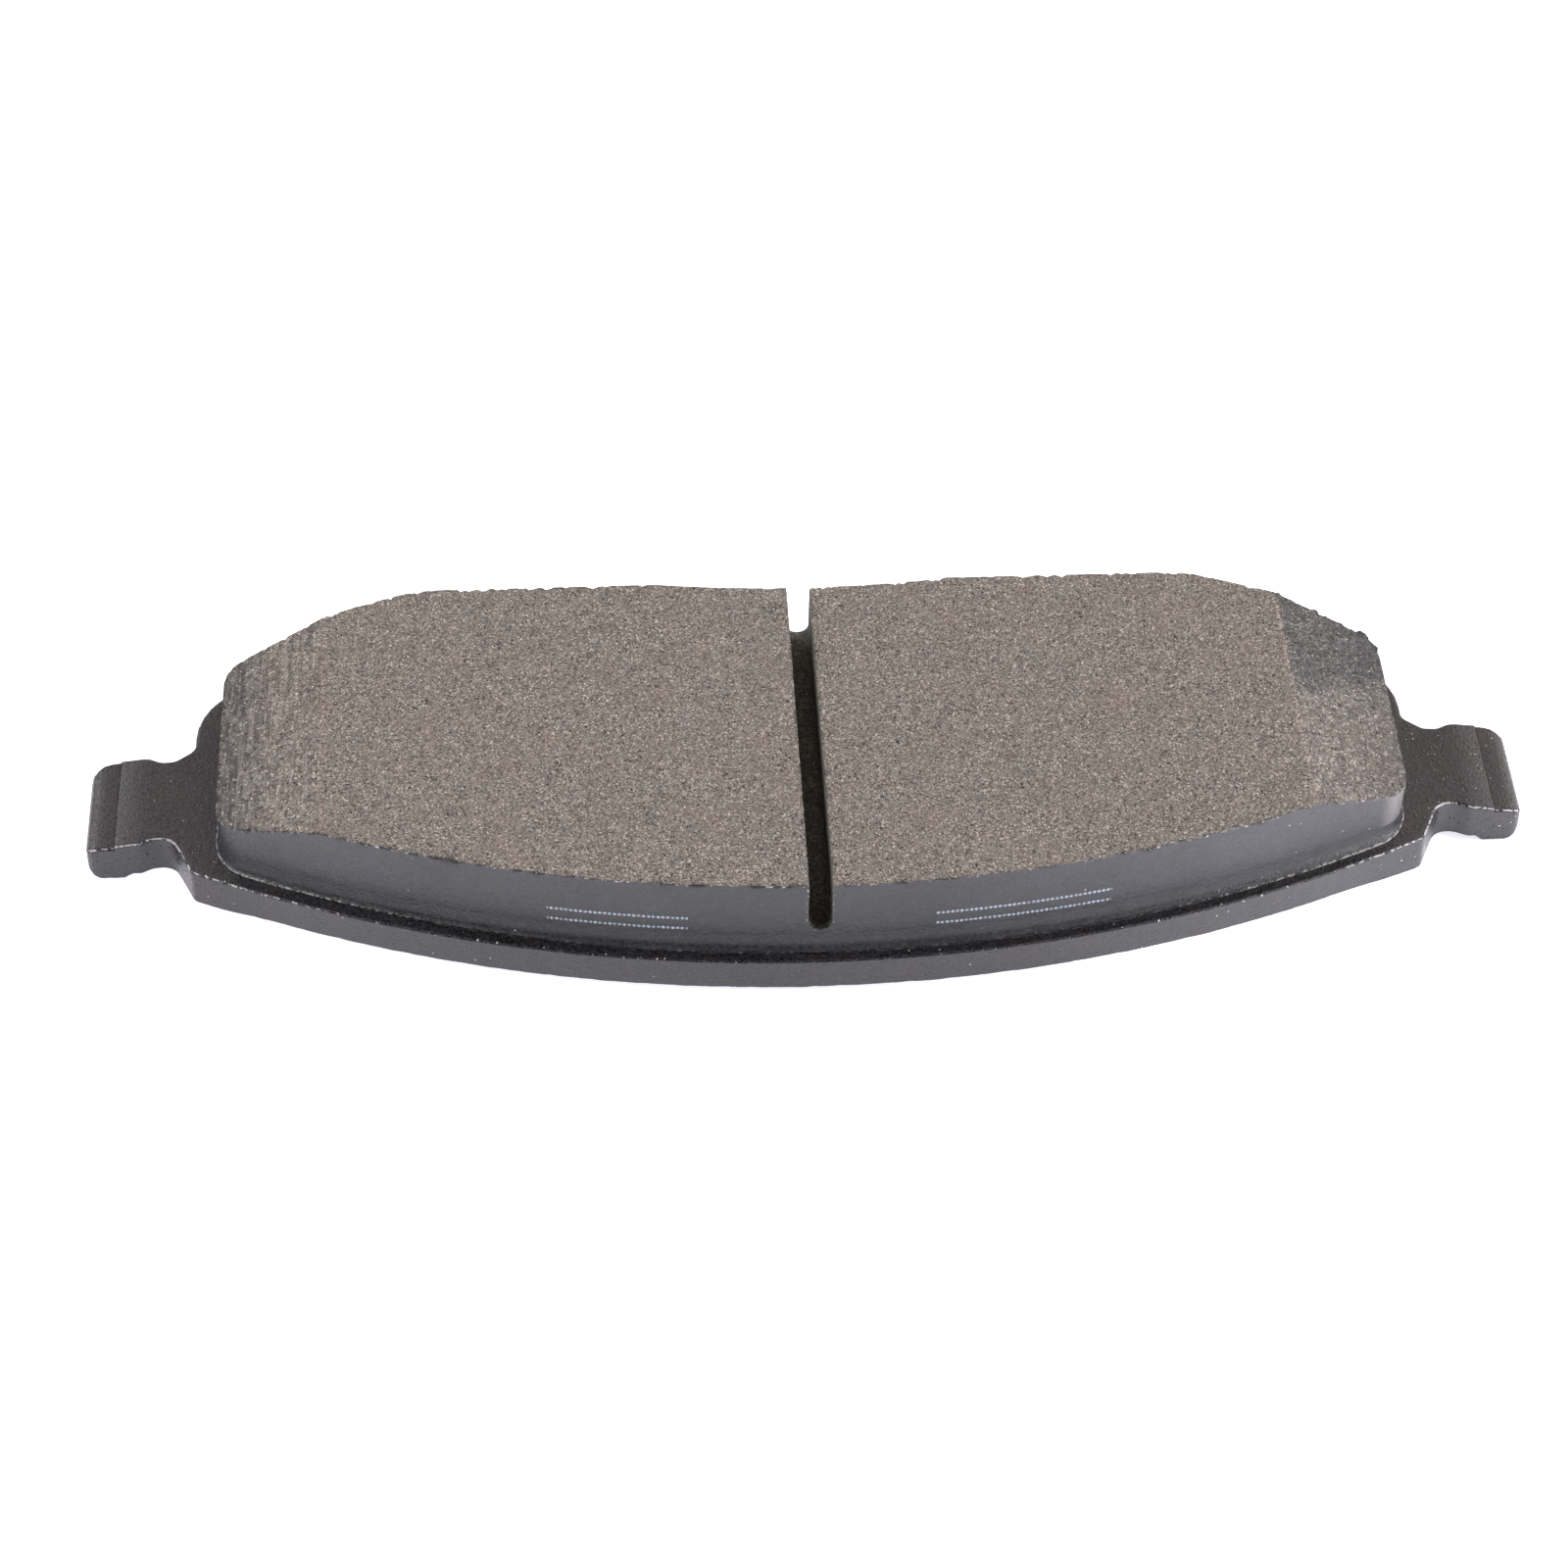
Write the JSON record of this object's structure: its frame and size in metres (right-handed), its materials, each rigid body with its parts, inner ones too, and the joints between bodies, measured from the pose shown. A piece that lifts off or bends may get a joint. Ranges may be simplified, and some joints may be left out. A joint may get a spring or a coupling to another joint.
{
  "type": "disc brake pad",
  "caption": "Disc brake pad: steel backing plate with an ear at each end, slotted and chamfered friction lining on an underlayer, and a damping shim on the back.",
  "frame": {"origin": "under the middle of the pad, on the plane of the shim's outer face that the caliper piston meets", "axes": "+X along the pad from ear to ear, +Y from the curved outer edge to the straight inner edge (to the wheel centre), +Z from the shim to the friction face"},
  "size_m": [0.1916, 0.061, 0.0177],
  "materials": {
    "painted_steel": "black satin paint over stamped steel",
    "friction_mix": "ground, granular moulded friction mix; satin dark paint on its side walls",
    "underlayer_mix": "satin, moulded, dark painted",
    "bond_adhesive": "cured resin film",
    "shim_adhesive": "pressure-sensitive film",
    "shim_rubber": "matte black coat",
    "shim_steel": "cold-rolled sheet"
  },
  "bodies": {
    "root": {"backing_plate": "painted_steel", "bond_film": "bond_adhesive", "underlayer": "underlayer_mix", "friction_block": "friction_mix", "shim_adhesive": "shim_adhesive", "shim_inner_coat": "shim_rubber", "shim_core": "shim_steel", "shim_outer_coat": "shim_rubber"}
  },
  "joints": []
}
